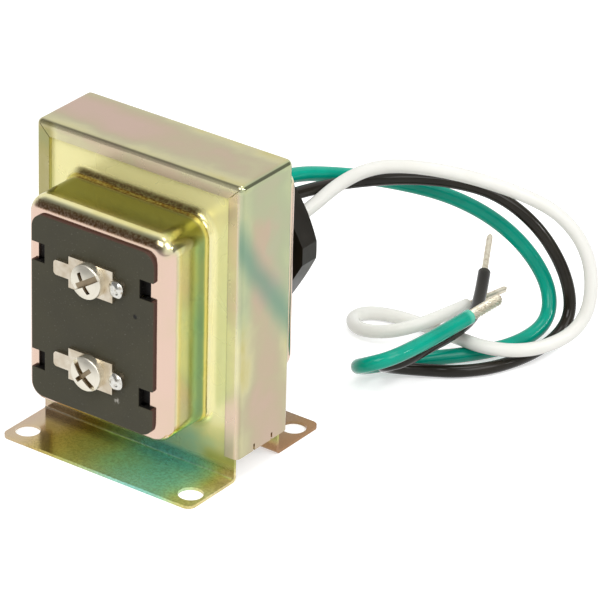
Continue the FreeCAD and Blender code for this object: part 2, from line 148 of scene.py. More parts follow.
# Core
# E and I stacks of thin silicon-steel laminations, stamped and pushed together round the coil.
# Their sheared edges show between the covers on the underside.
def tinted(tree, share, colour, tint):
    """A colour carried towards a tint by a share from 0 to 1."""
    if not isinstance(tint, bpy.types.NodeSocket):
        tint = (*tint, 1)
    return node(tree, "Mix", {0: share, 6: colour, 7: tint}, data_type="RGBA").outputs[2]


lamination, tree, shader = new_material("core_steel", 1.0, 0.45)
place = place_on(tree)
sheets = node(tree, "TexWave", {"Vector": place, "Scale": 630.0, "Distortion": 0.6, "Detail": 1.0},
              bands_direction="Y", wave_profile="SIN").outputs["Fac"]
scale_marks = noise(tree, place, 260.0, 4.0)
blued = ramp(tree, scale_marks, [
    (0.3, (0.16, 0.17, 0.19)), (0.55, (0.27, 0.27, 0.28)), (0.8, (0.30, 0.22, 0.15))])
gaps = spread(tree, sheets, 0.0, 0.35, 0.75, 0.0)
tree.links.new(tinted(tree, gaps, blued, (0.02, 0.02, 0.02)), shader.inputs["Base Color"])
tree.links.new(spread(tree, scale_marks, 0.3, 0.8, 0.35, 0.6), shader.inputs["Roughness"])
bump(tree, shader, sheets, 0.08 * MM)
for name in ("core_e_stack", "core_i_stack"):
    dress(name, lamination)


# Bell covers
# Drawn from steel sheet, zinc plated and dipped in yellow chromate. Front and rear are one drawing, one with
# a window for the board and one with a hole for the hub. Their turned feet carry the transformer.
def math_of(tree, operation, first, *others):
    """One operation carried over its values in turn; ABSOLUTE, SQRT and SINE take a single value."""
    if not others:
        return node(tree, "Math", {0: first}, operation=operation).outputs[0]
    for other in others:
        first = node(tree, "Math", {0: first, 1: other}, operation=operation).outputs[0]
    return first


def times(tree, *values):
    """Product of masks and values."""
    return math_of(tree, "MULTIPLY", *values)


def rest_of(tree, mask):
    """What a mask leaves over: 1 less the mask."""
    return math_of(tree, "SUBTRACT", 1.0, mask)


def between(tree, share, first, second):
    """A value carried from the first to the second by a share from 0 to 1."""
    return node(tree, "Mix", {0: share, 2: first, 3: second}, data_type="FLOAT").outputs[0]


def axes_of(tree):
    """The piece's own X, Y and Z, in metres."""
    return node(tree, "SeparateXYZ", {"Vector": place_on(tree)}).outputs


def zone(tree, value, low_mm, high_mm, start=0.0, end=1.0):
    """Mask that turns softly from start to end between two places in millimetres."""
    return spread(tree, value, low_mm * MM, high_mm * MM, start, end, True)


def stretch(tree, value, low_mm, rise_mm, fall_mm, high_mm):
    """Mask that rises from low to rise and falls from fall to high, all in millimetres."""
    return times(tree, zone(tree, value, low_mm, rise_mm), zone(tree, value, high_mm, fall_mm))


def curve(tree, value, points):
    """A value read off a smooth curve at a place in metres; the curve's points are millimetres and value."""
    low = points[0][0]
    high = points[-1][0]
    made = node(tree, "FloatCurve", {"Value": spread(tree, value, low * MM, high * MM, 0.0, 1.0)})
    line = made.mapping.curves[0]
    while len(line.points) < len(points):
        line.points.new(0.5, 0.5)
    for spot, (x, y) in zip(line.points, points):
        spot.location = ((x - low) / (high - low), y)
    made.mapping.update()
    return made.outputs["Value"]


def chromate_group():
    """Film thickness to colour, from pink through gold and green to teal, with patches and drawn texture."""
    group = bpy.data.node_groups.new("chromate_film", "ShaderNodeTree")
    for name in ("Film", "Drawn", "Shade And Tone"):
        group.interface.new_socket(name, in_out="INPUT", socket_type="NodeSocketFloat")
    group.interface.new_socket("Color", in_out="OUTPUT", socket_type="NodeSocketColor")
    group.interface.new_socket("Roughness", in_out="OUTPUT", socket_type="NodeSocketFloat")
    group.interface.new_socket("Height", in_out="OUTPUT", socket_type="NodeSocketFloat")
    given = group.nodes.new("NodeGroupInput").outputs
    place = place_on(group)
    patches = noise(group, place, 62.0, 2.5, 0.7)
    mottle = noise(group, place, 420.0, 3.0, 0.3)
    grain = noise(group, place, 1700.0, 2.0)
    film = math_of(group, "ADD", given["Film"], spread(group, patches, 0.25, 0.75, -0.09, 0.09),
                   spread(group, mottle, 0.2, 0.8, -0.04, 0.04))
    tint = ramp(group, film, [
        (0.00, (0.87, 0.63, 0.53)), (0.18, (0.79, 0.63, 0.45)), (0.32, (0.73, 0.69, 0.44)),
        (0.45, (0.97, 0.92, 0.54)), (0.57, (0.85, 0.74, 0.26)), (0.70, (0.62, 0.71, 0.35)),
        (0.84, (0.43, 0.68, 0.46)), (1.00, (0.26, 0.60, 0.53))], "B_SPLINE")
    peel = node(group, "TexVoronoi", {"Vector": place, "Scale": 1500.0, "Randomness": 1.0}, feature="F1")
    # Pale specks on the drawn skin are painted glints.
    glint_speck = times(group, spread(group, peel.outputs["Distance"], 0.12, 0.3, 1.0, 0.0), given["Drawn"], 0.4)
    pale = tinted(group, glint_speck, tint, (0.85, 0.74, 0.42))
    # The dark input is painted shade, with some plain darker tone on the band.
    dark = tinted(group, given["Shade And Tone"], pale, (0.10, 0.075, 0.035))
    drawn_rough = times(group, given["Drawn"], spread(group, grain, 0.3, 0.7, 0.0, 0.14))
    rough = math_of(group, "ADD", spread(group, patches, 0.3, 0.7, 0.12, 0.19), drawn_rough)
    drawn_height = times(group, given["Drawn"], spread(group, mottle, 0.2, 0.8, 0.0, 1.0))
    height = math_of(group, "ADD", spread(group, grain, 0.2, 0.8, 0.0, 0.10), drawn_height)
    put = group.nodes.new("NodeGroupOutput").inputs
    group.links.new(dark, put["Color"])
    group.links.new(rough, put["Roughness"])
    group.links.new(height, put["Height"])
    return group


def coat(tree, shader, film, drawn, shade_and_tone):
    """Places the chromate film in a material with its own film, drawn texture and darkening, mostly painted
    shade.
    """
    layer = node(tree, "Group", {"Film": film, "Drawn": drawn, "Shade And Tone": shade_and_tone}, node_tree=chromate).outputs
    bump(tree, shader, layer["Height"], 0.012 * MM)
    return layer


chromate = chromate_group()
cover_metal, tree, shader = new_material("cover_chromate", 1.0, 0.24)
axes = axes_of(tree)
depth = math_of(tree, "ABSOLUTE", axes["Y"])

# Film along the drawn walls by depth, on the plate below the boss and across the foot
is_top = zone(tree, axes["Z"], 51.0, 54.0)
is_right = zone(tree, axes["X"], 15.5, 18.0)
is_foot = zone(tree, axes["Z"], 4.0, 1.6)
upper = times(tree, is_top, zone(tree, axes["X"], 16.0, 19.0, 1.0, 0.35))
side_draw = curve(tree, depth, [
    (7, 0.50), (7.6, 0.48), (8.8, 0.47), (9.5, 0.80), (10.4, 0.97), (12.0, 0.90), (13.2, 0.82), (14.6, 0.74),
    (16.6, 0.66), (18.0, 0.36), (18.8, 0.10), (19.6, 0.04), (22, 0.03)])
side_draw = times(tree, side_draw, zone(tree, axes["Z"], 24, 46, 1.0, 0.88))
top_draw = curve(tree, depth, [
    (7, 0.56), (9.3, 0.60), (11.0, 0.66), (16.0, 0.64), (18.4, 0.54), (20.5, 0.30), (20.9, 0.08), (22, 0.02)])
under_boss = curve(tree, axes["X"], [
    (-24, 0.05), (-10, 0.08), (0, 0.20), (7, 0.30), (14, 0.24), (19, 0.12), (24, 0.08)])
low_plate = times(tree, zone(tree, axes["Z"], 13, 6), under_boss)
across_foot = curve(tree, axes["X"], [
    (-24, 0.10), (-20, 0.46), (-12, 0.58), (-3, 0.80), (5, 0.96), (13, 0.90), (19, 0.70), (24, 0.50)])
body_film = math_of(tree, "ADD", between(tree, upper, side_draw, top_draw), low_plate)
film = between(tree, is_foot, body_film, across_foot)

# Rough skin where the sheet was pulled round the boss's top edges
at_middle = zone(tree, math_of(tree, "ABSOLUTE", axes["X"]), 16.5, 13.5)
round_base = times(tree, zone(tree, axes["Z"], 57.6, 56.2), zone(tree, depth, 9.9, 9.2), is_top, at_middle)
round_face = times(tree, stretch(tree, axes["Z"], 53.2, 53.7, 54.7, 55.1), zone(tree, depth, 18.5, 19.0),
                   at_middle)
drawn = math_of(tree, "ADD", round_face, round_base)

# Painted shade: a dark band at the right wall's base, and on the top wall, the foot and the plate above it
wall_base_shade = curve(tree, depth, [(7, 0.0), (8.8, 0.0), (10.2, 0.58), (12.5, 0.12), (15, 0.0), (22, 0.0)])
top_shade = curve(tree, depth, [
    (7, 0.0), (9.0, 0.0), (9.9, 0.70), (11.0, 0.83), (14.5, 0.73), (17.0, 0.32), (18.2, 0.0), (22, 0.0)])
foot_shade = times(tree, is_foot, zone(tree, axes["X"], -21, 6, 0.36, 0.0))
low_shade = times(tree, zone(tree, axes["Z"], 13, 4), rest_of(tree, is_foot),
                  spread(tree, axes["X"], -18 * MM, 20 * MM, 0.16, 0.17))
bend_line = stretch(tree, axes["Z"], 0.75, 0.95, 1.15, 1.4)
shade_and_tone = math_of(tree, "ADD", times(tree, wall_base_shade, rest_of(tree, is_top), is_right),
               times(tree, top_shade, upper), foot_shade, low_shade)
shade_and_tone = times(tree, shade_and_tone, rest_of(tree, bend_line))
skin = coat(tree, shader, film, times(tree, drawn, 0.55), shade_and_tone)

# Olive top wall, dark brown grains on the drawn radii, and a painted reflection: a pale stripe on the right
# wall
top_wall = times(tree, stretch(tree, depth, 9.6, 10.6, 17.2, 18.6), upper, 0.6)
stained = tinted(tree, top_wall, skin["Color"], (0.34, 0.33, 0.045))
grains = spread(tree, noise(tree, place_on(tree), 2600.0, 2.0), 0.40, 0.62, 0.92, 0.46)
stained = tinted(tree, times(tree, drawn, grains), stained, (0.22, 0.095, 0.012))
# A pale stripe painted on the right wall as its reflection of the bright table.
wall_reflection_stripe = times(tree, stretch(tree, depth, 12.2, 13.6, 16.2, 17.2), is_right, rest_of(tree, upper), 0.5)
stained = tinted(tree, wall_reflection_stripe, stained, (0.78, 0.84, 0.62))

# Stains along the foot, with a fine dark grain
wander = spread(tree, noise(tree, place_on(tree), 70.0, 3.0, 0.6), 0.3, 0.7, -3.5 * MM, 3.5 * MM)
along_foot = spread(tree, math_of(tree, "ADD", axes["X"], wander), -25 * MM, 25 * MM, 0.0, 1.0)
foot_stain = ramp(tree, along_foot, [
    (0.00, (0.66, 0.49, 0.38)), (0.12, (0.62, 0.44, 0.28)), (0.20, (0.58, 0.38, 0.07)),
    (0.32, (0.50, 0.49, 0.09)), (0.44, (0.50, 0.66, 0.30)), (0.54, (0.40, 0.78, 0.58)),
    (0.64, (0.31, 0.79, 0.72)), (0.76, (0.27, 0.78, 0.64)), (0.86, (0.60, 0.88, 0.40)),
    (0.93, (0.80, 0.68, 0.15)), (1.00, (0.84, 0.69, 0.36))], "B_SPLINE")
stained = tinted(tree, times(tree, is_foot, 0.7), stained, foot_stain)
foot_grains = spread(tree, noise(tree, place_on(tree), 2100.0, 2.0), 0.38, 0.60, 0.32, 0.0)
foot_grains = times(tree, foot_grains, is_foot, zone(tree, axes["X"], -20, -15, 0.1, 1.0))
stained = tinted(tree, foot_grains, stained, (0.15, 0.12, 0.02))

# Yellow plate, brighter higher up as painted light, olive at its lower right corner, and a bronze rear foot
off_plate = math_of(tree, "MAXIMUM", is_foot, round_base)
is_plate = times(tree, zone(tree, depth, 8.4, 7.5), rest_of(tree, off_plate))
high_plate = times(tree, is_plate, zone(tree, axes["Z"], 10, 18, 0.0, 0.8))
stained = tinted(tree, high_plate, stained, (1.0, 0.93, 0.47))
low_corner = times(tree, zone(tree, axes["Z"], 7.0, 4.0), zone(tree, axes["X"], 14.0, 18.0),
                   rest_of(tree, is_foot), 0.75)
stained = tinted(tree, low_corner, stained, (0.36, 0.36, 0.05))
rear_foot = times(tree, spread(tree, axes["Y"], 0, MM, 0.0, 1.0), is_foot, 0.85)
tree.links.new(tinted(tree, rear_foot, stained, (0.31, 0.125, 0.06)), shader.inputs["Base Color"])
dull_foot = times(tree, is_foot, spread(tree, axes["X"], -10 * MM, 10 * MM, 0.05, 0.30))
dull = math_of(tree, "MAXIMUM", times(tree, is_plate, 0.7), dull_foot)
tree.links.new(rest_of(tree, dull), shader.inputs["Metallic"])
matt = times(tree, is_plate, 0.12)
tree.links.new(math_of(tree, "ADD", skin["Roughness"], matt), shader.inputs["Roughness"])
for name in ("front_bell", "rear_bell"):
    dress(name, cover_metal)


# Wrap band
# One strip of the same plated sheet, bent into a channel round the core and both covers.
# Its lips are mitred at the top corners, and two tabs are turned in under the core.
def distance_from(tree, spot):
    """Distance of each point of the piece from a spot, in metres."""
    return node(tree, "VectorMath", {0: place_on(tree), 1: spot}, operation="DISTANCE").outputs["Value"]


band_metal, tree, shader = new_material("band_chromate", 1.0, 0.24)
place = place_on(tree)
axes = axes_of(tree)
depth = math_of(tree, "ABSOLUTE", axes["Y"])
off_middle = math_of(tree, "ABSOLUTE", axes["X"])
on_side = zone(tree, axes["X"], 24.0, 24.6)
left_lip = times(tree, zone(tree, depth, 7.6, 8.0), zone(tree, axes["X"], -19, -22))

# Film by depth, thicker to the right of the top, on the left lip and low on the sides, and thin at their foot
across_band = curve(tree, depth, [(0, 0.12), (3.0, 0.16), (6.0, 0.33), (7.2, 0.38), (7.9, 0.26), (9, 0.16)])
to_the_right = spread(tree, axes["X"], -24 * MM, 20 * MM, -0.12, 0.12)
top_turn = times(tree, zone(tree, axes["Z"], 62.5, 63.5), to_the_right)
clouds = spread(tree, noise(tree, place, 48.0, 2.0, 0.5), 0.3, 0.7, -0.10, 0.12)
low_side = times(tree, stretch(tree, axes["Z"], 14, 22, 32, 40), 0.17)
low_pink = times(tree, zone(tree, axes["Z"], 22, 12), zone(tree, depth, 3, 7, 0.09, 0.17))
film = math_of(tree, "ADD", across_band, top_turn, times(tree, left_lip, 0.26), clouds, low_side)
film = math_of(tree, "SUBTRACT", film, low_pink)

# Painted shade along the bends, the lips' edges and in the right tab's slot; faces and left lip darker in
# tone
on_lip = zone(tree, depth, 7.6, 8.2, 0.30, 0.02)
end_bend = times(tree, zone(tree, off_middle, 23.4, 24.0), zone(tree, axes["Z"], 63.1, 63.8, 0.0, 0.3))
front_bend = times(tree, zone(tree, depth, 7.1, 7.5), zone(tree, axes["Z"], 63.3, 63.9, 0.0, 0.08))
top_lip = times(tree, spread(tree, depth, 7.9 * MM, 8.2 * MM, 0.0, 0.14), zone(tree, axes["Z"], 60.8, 61.4))
lip_edge = times(tree, zone(tree, off_middle, 21.82, 22.2, 0.25, 0.0), zone(tree, depth, 7.3, 7.5),
                 zone(tree, axes["Z"], 61.2, 60.6))
right_tab = (25 * MM, 0.7 * MM, 4.4 * MM)
tab_slot_shade = zone(tree, distance_from(tree, right_tab), 0.6, 2.6, 0.6, 0.0)
shade_and_tone = math_of(tree, "MAXIMUM", on_lip, end_bend, front_bend, times(tree, left_lip, 0.52), top_lip, lip_edge,
               tab_slot_shade)
skin = coat(tree, shader, film, 0.03, shade_and_tone)

# Green round the right side's edges, and a teal streak slanting across it
drift = spread(tree, noise(tree, place, 110.0, 3.0, 0.4), 0.3, 0.7, -2.2 * MM, 2.2 * MM)
front_edge = times(tree, zone(tree, axes["Y"], -3.4, -6.6), stretch(tree, axes["Z"], 28, 38, 57, 61.5), 0.5)
rear_half = times(tree, zone(tree, math_of(tree, "ADD", axes["Y"], drift), -0.5, 4.0),
                  zone(tree, axes["Z"], 24, 36), 0.5)
top_edge = zone(tree, math_of(tree, "ADD", axes["Z"], drift), 52.5, 58, 0.0, 0.45)
green_edges = times(tree, math_of(tree, "MAXIMUM", front_edge, rear_half, top_edge), on_side)
greened = tinted(tree, green_edges, skin["Color"], (0.42, 0.56, 0.34))
streak_slope = 1.39
streak_height = 40.5 * MM
ripple = spread(tree, noise(tree, place, 55.0), 0.3, 0.7, -1.2 * MM, 1.2 * MM)
streak_line = math_of(tree, "ADD", times(tree, axes["Y"], streak_slope), axes["Z"], ripple)
off_streak = math_of(tree, "ABSOLUTE", math_of(tree, "SUBTRACT", streak_line, streak_height))
streak = times(tree, zone(tree, off_streak, 0.0, 8.0, 0.75, 0.0), on_side)
tree.links.new(tinted(tree, streak, greened, (0.17, 0.34, 0.25)), shader.inputs["Base Color"])
is_lip = zone(tree, depth, 7.8, 8.3)
tree.links.new(spread(tree, is_lip, 0, 1, 1.0, 0.7), shader.inputs["Metallic"])
matt = times(tree, is_lip, 0.12)
tree.links.new(math_of(tree, "ADD", skin["Roughness"], matt), shader.inputs["Roughness"])
dress("wrap_band", band_metal)


# Terminal board
# A black phenolic moulding clipped into the front cover's window by four hooks, seen through its notches.
# Its face is matt, with a small pit and a pale scuff, and its cut edges are brownish.
phenolic, tree, shader = new_material("black_phenolic", 0.0, 0.55)
shader.inputs["Specular IOR Level"].default_value = 0.28
place = place_on(tree)
axes = axes_of(tree)
haze = noise(tree, place, 90.0, 3.0)
face_tint = ramp(tree, haze, [(0.3, (0.048, 0.044, 0.027)), (0.7, (0.062, 0.057, 0.035))])
at_edge = math_of(tree, "MAXIMUM",
                  spread(tree, axes["X"], 13.9 * MM, 14.05 * MM, 0.0, 1.0),
                  spread(tree, axes["X"], -14.45 * MM, -14.6 * MM, 0.0, 1.0),
                  spread(tree, axes["Z"], 49.0 * MM, 49.3 * MM, 0.0, 1.0),
                  spread(tree, axes["Z"], 16.6 * MM, 16.3 * MM, 0.0, 1.0))
# The walls of the notches and holes are painted near black as their shade; the outer cut edges are brownish.
side_shade = ramp(tree, at_edge, [(0.0, (0.006, 0.005, 0.004)), (1.0, (0.075, 0.038, 0.028))])
board_tint = tinted(tree, zone(tree, axes["Y"], -21.88, -21.75), face_tint, side_shade)
dust = spread(tree, noise(tree, place, 2600.0, 1.0), 0.68, 0.78, 0.0, 0.35)
board_tint = tinted(tree, dust, board_tint, (0.20, 0.19, 0.16))
pit_at = (10.29 * MM, -22.0 * MM, 38.14 * MM)
# The pit is painted near black, its shade.
pit = zone(tree, distance_from(tree, pit_at), 0.25, 0.6, 1.0, 0.0)
board_tint = tinted(tree, pit, board_tint, (0.010, 0.009, 0.007))
scuff_at = (6.06 * MM, -22.0 * MM, 18.45 * MM)
ragged = times(tree, zone(tree, distance_from(tree, scuff_at), 0.2, 0.9, 1.0, 0.0),
               spread(tree, noise(tree, place, 1400.0), 0.45, 0.6, 0.0, 0.9))
tree.links.new(tinted(tree, ragged, board_tint, (0.42, 0.40, 0.35)), shader.inputs["Base Color"])
tree.links.new(spread(tree, haze, 0.3, 0.7, 0.48, 0.62), shader.inputs["Roughness"])
relief = math_of(tree, "SUBTRACT", noise(tree, place, 3200.0, 2.0), times(tree, pit, 14.0))
bump(tree, shader, relief, 0.015 * MM)
dress("terminal_board", phenolic)


# Screw terminals
# Tinned brass plates with binding-head screws; each plate's right tab is soldered to a wire from the coil.
# The heads are nickel plated, with a slot crossed by a short recess.
terminal_z = {"upper": 43.1, "lower": 23.2}
tinned, tree, shader = new_material("tinned_brass", 1.0, 0.3)
smear = noise(tree, place_on(tree), 500.0, 4.0)
warm = ramp(tree, smear, [(0.3, (0.62, 0.52, 0.38)), (0.7, (0.80, 0.73, 0.61))])
tree.links.new(warm, shader.inputs["Base Color"])
tree.links.new(spread(tree, smear, 0.3, 0.7, 0.42, 0.26), shader.inputs["Roughness"])
bump(tree, shader, smear, 0.02 * MM)

nickel, tree, shader = new_material("nickel_plate", 1.0, 0.2)
scuff = noise(tree, place_on(tree), 700.0, 4.0)
axes = axes_of(tree)
off_upper = math_of(tree, "ABSOLUTE", math_of(tree, "SUBTRACT", axes["Z"], terminal_z["upper"] * MM))
off_lower = math_of(tree, "ABSOLUTE", math_of(tree, "SUBTRACT", axes["Z"], terminal_z["lower"] * MM))
off_centre = math_of(tree, "MINIMUM", off_upper, off_lower)
across = math_of(tree, "SQRT", math_of(tree, "ADD", times(tree, axes["X"], axes["X"]),
                                       times(tree, off_centre, off_centre)))
# The recess is painted dark brown, partly grime and partly its shade.
recess = times(tree, zone(tree, axes["Y"], -24.75, -24.5), zone(tree, across, 2.7, 3.0, 1.0, 0.0))
bright = ramp(tree, recess, [
    (0.0, (0.94, 0.89, 0.76)), (0.7, (0.44, 0.36, 0.25)), (1.0, (0.34, 0.27, 0.18))])
tree.links.new(bright, shader.inputs["Base Color"])
tree.links.new(spread(tree, scuff, 0.3, 0.7, 0.34, 0.48), shader.inputs["Roughness"])
bump(tree, shader, scuff, 0.01 * MM)
for row in terminal_z:
    dress(f"terminal_plate_{row}", tinned)
    dress(f"terminal_screw_{row}", nickel)


def closed_piece(name, rings, start, end, material):
    """Watertight skin over rings of points: each ring closes on itself, and a fan closes each end."""
    rows, columns = rings.shape[:2]
    index = np.arange(rows * columns).reshape(rows, columns)
    beside = np.roll(index, -1, 1)
    walls = np.stack([index[:-1], beside[:-1], beside[1:], index[1:]], -1).reshape(-1, 4)
    first = np.full(columns, rows * columns)
    start_cap = np.stack([first, beside[0], index[0]], -1)
    end_cap = np.stack([first + 1, index[-1], beside[-1]], -1)
    mesh = bpy.data.meshes.new(name)
    points = np.concatenate([rings.reshape(-1, 3), [start, end]])
    mesh.from_pydata(points, [], [*walls.tolist(), *start_cap.tolist(), *end_cap.tolist()], shade_flat=False)
    mesh.materials.append(material)
    piece = bpy.data.objects.new(name, mesh)
    bpy.context.scene.collection.objects.link(piece)
    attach(piece, "root")
    return piece


def solder_lump(name, z, lean):
    """Frozen drop: height falls from the middle to an uneven oval rim, with two swells and a dimple."""
    joint_x = 6.6
    plate_y = -22.8
    right_reach = 1.6
    left_reach = 2.0
    upward_reach = 1.9
    squareness = 2.4
    tallest = 1.18
    turn = np.linspace(0, 2 * np.pi, 72, endpoint=False)[None, :]
    share = np.linspace(1.0, 0.04, 30)[:, None]
    level_reach = np.where(np.cos(turn) > 0, right_reach, left_reach)
    level_part = np.abs(np.cos(turn) / level_reach) ** squareness
    upward_part = np.abs(np.sin(turn) / upward_reach) ** squareness
    rim = (level_part + upward_part) ** (-1 / squareness)
    rim = rim * (0.95 + 0.03 * np.sin(3 * turn + lean) + 0.02 * np.sin(5 * turn + 2 * lean))
    x = share * rim * np.cos(turn)
    up = share * rim * np.sin(turn)
    large_swell = np.exp(-((x - 0.5) ** 2 + (up - 0.6) ** 2) / 0.5)
    small_swell = np.exp(-((x + 0.6) ** 2 + (up + 0.5) ** 2) / 0.6)
    dimple = np.exp(-((x - 0.35) ** 2 + (up + 0.45) ** 2) / 0.10)
    height = (1 - share ** 3.2) ** 0.45 * (0.76 + 0.30 * (large_swell + 0.7 * small_swell) - 0.30 * dimple)
    height = np.minimum(height, tallest)
    skin = np.stack([joint_x + x, plate_y - height, z + up], -1) * MM
    base = np.array([joint_x, plate_y, z]) * MM
    return closed_piece(name, skin, base, skin[-1].mean(0), solder)


solder, tree, shader = new_material("bright_solder", 1.0, 0.25)
flux = noise(tree, place_on(tree), 1100.0, 3.0)
tin = ramp(tree, flux, [(0.30, (0.42, 0.36, 0.27)), (0.45, (0.80, 0.78, 0.72)), (0.75, (0.90, 0.89, 0.85))])
tree.links.new(tin, shader.inputs["Base Color"])
tree.links.new(spread(tree, flux, 0.3, 0.7, 0.38, 0.18), shader.inputs["Roughness"])
bump(tree, shader, flux, 0.05 * MM)
lump_lean = {"upper": 0.4, "lower": 2.3}
for row, z in terminal_z.items():
    lump = solder_lump(f"solder_lump_{row}", z, lump_lean[row])
    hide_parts(f"solder_joint_{row}")


# Hub
# A black nylon conduit nipple with a collar, snapped into the rear cover, and a nut to clamp a box wall.
# Both are moulded, with a faint flow pattern, and the nipple carries a half-inch thread.
hub_z = 34.2 * MM
thread_pitch = 1.81 * MM
thread_height = 8.0
moulded, tree, shader = new_material("black_nylon", 0.0, 0.34)
shader.inputs["Specular IOR Level"].default_value = 0.42
place = place_on(tree)
axes = axes_of(tree)
angle = math_of(tree, "ARCTAN2", math_of(tree, "SUBTRACT", axes["Z"], hub_z), axes["X"])
phase = math_of(tree, "ADD", math_of(tree, "DIVIDE", axes["Y"], thread_pitch / (2 * math.pi)), angle)
beyond_nut = zone(tree, axes["Y"], 30.2, 30.4)
thread = times(tree, math_of(tree, "SINE", phase), beyond_nut, thread_height)
flow = noise(tree, place, 160.0, 3.0, 0.6)
soft_black = ramp(tree, flow, [(0.3, (0.009, 0.007, 0.004)), (0.7, (0.014, 0.011, 0.006))])
tree.links.new(soft_black, shader.inputs["Base Color"])
tree.links.new(spread(tree, flow, 0.3, 0.7, 0.28, 0.40), shader.inputs["Roughness"])
bump(tree, shader, math_of(tree, "ADD", thread, noise(tree, place, 1900.0)), 0.02 * MM)
for name in ("hub_nipple", "hub_locknut"):
    dress(name, moulded)


# Leads
# Three hook-up leads with soft PVC insulation, spliced inside the rear cover and led out through the hub.
# The green one is thicker, with its strands apart, and ends inside at a tab welded to the cover.
# All three are stripped at their free ends.
routes_mm = {
    "white": [
        (6.6, 17.425, 30.0), (3.8, 17.425, 30.0), (2.2, 19.4, 30.2), (1.8, 24.0, 30.8),
        (2.2, 31.0, 31.8), (3.1, 43.6, 32.9), (5.6, 51.2, 37.2), (9.7, 56.8, 39.9), (16.0, 61.8, 40.2),
        (25.0, 67.7, 38.6), (34.5, 73.8, 35.2), (42.0, 78.7, 30.6), (47.5, 81.0, 22.5), (49.5, 79.6, 13.0),
        (48.5, 76.0, 7.2), (45.4, 69.4, 5.2), (41.3, 64.2, 5.0), (35.5, 61.5, 5.1), (29.8, 62.3, 4.6),
        (20.5, 66.7, 1.9), (11.0, 67.6, 1.47), (4.0, 65.3, 1.47), (2.7, 60.8, 1.47), (7.4, 56.6, 1.9),
        (14.2, 57.3, 3.2), (19.1, 60.8, 4.9), (21.2, 68.0, 5.2), (22.33, 74.8, 5.1),
    ],
    "black": [
        (6.6, 17.425, 39.0), (3.6, 17.425, 39.0), (1.2, 19.4, 38.8), (0.2, 24.0, 38.4),
        (0.2, 31.0, 37.9), (0.8, 44.3, 36.4), (4.0, 55.4, 35.2), (10.0, 66.4, 33.9), (17.5, 73.6, 32.8),
        (25.4, 79.1, 30.3), (32.6, 83.3, 24.0), (38.1, 85.4, 15.7), (41.1, 85.3, 7.9), (42.1, 81.8, 3.4),
        (41.5, 73.4, 1.4), (39.0, 62.5, 1.4), (33.9, 55.5, 1.4), (27.8, 51.7, 1.4), (23.1, 47.5, 2.2),
        (22.8, 43.3, 4.2), (25.6, 41.4, 6.2), (28.2, 43.8, 7.0), (28.8, 50.6, 7.3), (29.6, 58.9, 7.3),
        (28.5, 67.3, 7.1), (25.3, 74.9, 7.3), (21.1, 82.5, 9.2),
    ],
    "green": [
        (-8.0, 17.725, 33.4), (-5.4, 17.725, 33.4), (-3.6, 19.4, 34.4), (-3.2, 24.0, 35.8),
        (-3.2, 31.0, 39.2), (-2.9, 44.5, 39.3), (1.0, 59.6, 34.5), (7.5, 70.2, 30.6), (15.5, 76.9, 27.6),
        (23.5, 81.9, 22.8), (30.0, 85.4, 16.1), (35.5, 85.6, 9.0), (38.1, 81.4, 3.6), (36.7, 73.2, 1.65),
        (32.2, 63.3, 1.65), (22.2, 51.9, 1.65), (18.9, 44.2, 2.3), (20.0, 38.3, 5.2),
        (24.4, 35.0, 8.4), (28.4, 38.0, 9.9), (30.0, 44.9, 10.3), (30.7, 53.7, 10.3), (30.9, 62.5, 10.2),
    ],
}
lead_radius = {"white": 1.42 * MM, "black": 1.33 * MM, "green": 1.58 * MM}
pvc_shades = {
    "white": ((0.745, 0.738, 0.685), (0.785, 0.778, 0.735)),
    "black": ((0.012, 0.010, 0.007), (0.020, 0.017, 0.011)),
    "green": ((0.0003, 0.29, 0.20), (0.0008, 0.37, 0.255)),
}
painted_light_low = {"white": (0.93, 0.92, 0.86), "black": (0.017, 0.014, 0.010), "green": (0.0010, 0.29, 0.20)}
cut_shade = {"white": (0.78, 0.76, 0.68), "black": (0.05, 0.044, 0.034), "green": (0.18, 0.62, 0.47)}
bare_radius = {"white": 0.68 * MM, "black": 0.66 * MM, "green": 1.2 * MM}
bare_length = {"white": 11.8 * MM, "black": 12.6 * MM, "green": 10.8 * MM}
strands = {"white": 7, "black": 7, "green": 10}
twist = {"white": 2.0, "black": 2.0, "green": 7.0}
groove = {"white": 0.04, "black": 0.04, "green": 0.20}


def lead_curve(name, points, radius):
    """Smooth NURBS line of order 3 with the route's points as its control points, swept by a circle."""
    line = bpy.data.curves.new(name, "CURVE")
    line.dimensions = "3D"
    line.bevel_depth = radius
    line.bevel_resolution = 8
    line.resolution_u = 12
    line.use_fill_caps = True
    spline = line.splines.new("NURBS")
    spline.points.add(len(points) - 1)
    spline.points.foreach_set("co", np.c_[points, np.ones(len(points))].ravel())
    spline.order_u = 3
    spline.use_endpoint_u = True
    piece = bpy.data.objects.new(name, line)
    bpy.context.scene.collection.objects.link(piece)
    return piece


def bare_wires(colour, root, along, material):
    """Twisted bundle: a lobed section turned along the wire, drawn in at the tip and cut unevenly."""
    tip_share = 0.06
    count = strands[colour]
    share = np.linspace(0.0, 1.0, 120)[:, None]
    turn = np.linspace(0, 2 * np.pi, 16 * count, endpoint=False)[None, :]
    lobe = np.abs(np.sin(count / 2 * (turn - twist[colour] * share)))
    into_tip = np.clip((share - (1 - tip_share)) / tip_share, 0, 1)
    tip = np.sqrt(np.clip(1 - into_tip ** 2, 0.02, 1))
    knobs = 0.03 * np.sin(40 * share + 2 * turn) * np.exp(-share / 0.06)
    ridges = 0.99 - groove[colour] + groove[colour] * lobe + knobs
    reach = bare_radius[colour] * np.minimum(ridges * tip, 1.0)
    run = bare_length[colour] * share * (1 - 0.03 * (0.5 + 0.5 * np.sin(2 * turn + 1)))
    side = np.cross(along, (0.0, 0.0, 1.0))
    side = side / np.linalg.norm(side)
    over = np.cross(along, side)
    section = (reach * np.cos(turn))[..., None] * side + (reach * np.sin(turn))[..., None] * over
    skin = root + run[..., None] * along + section
    return closed_piece(f"bare_wires_{colour}", skin, root, skin[-1].mean(0), material)


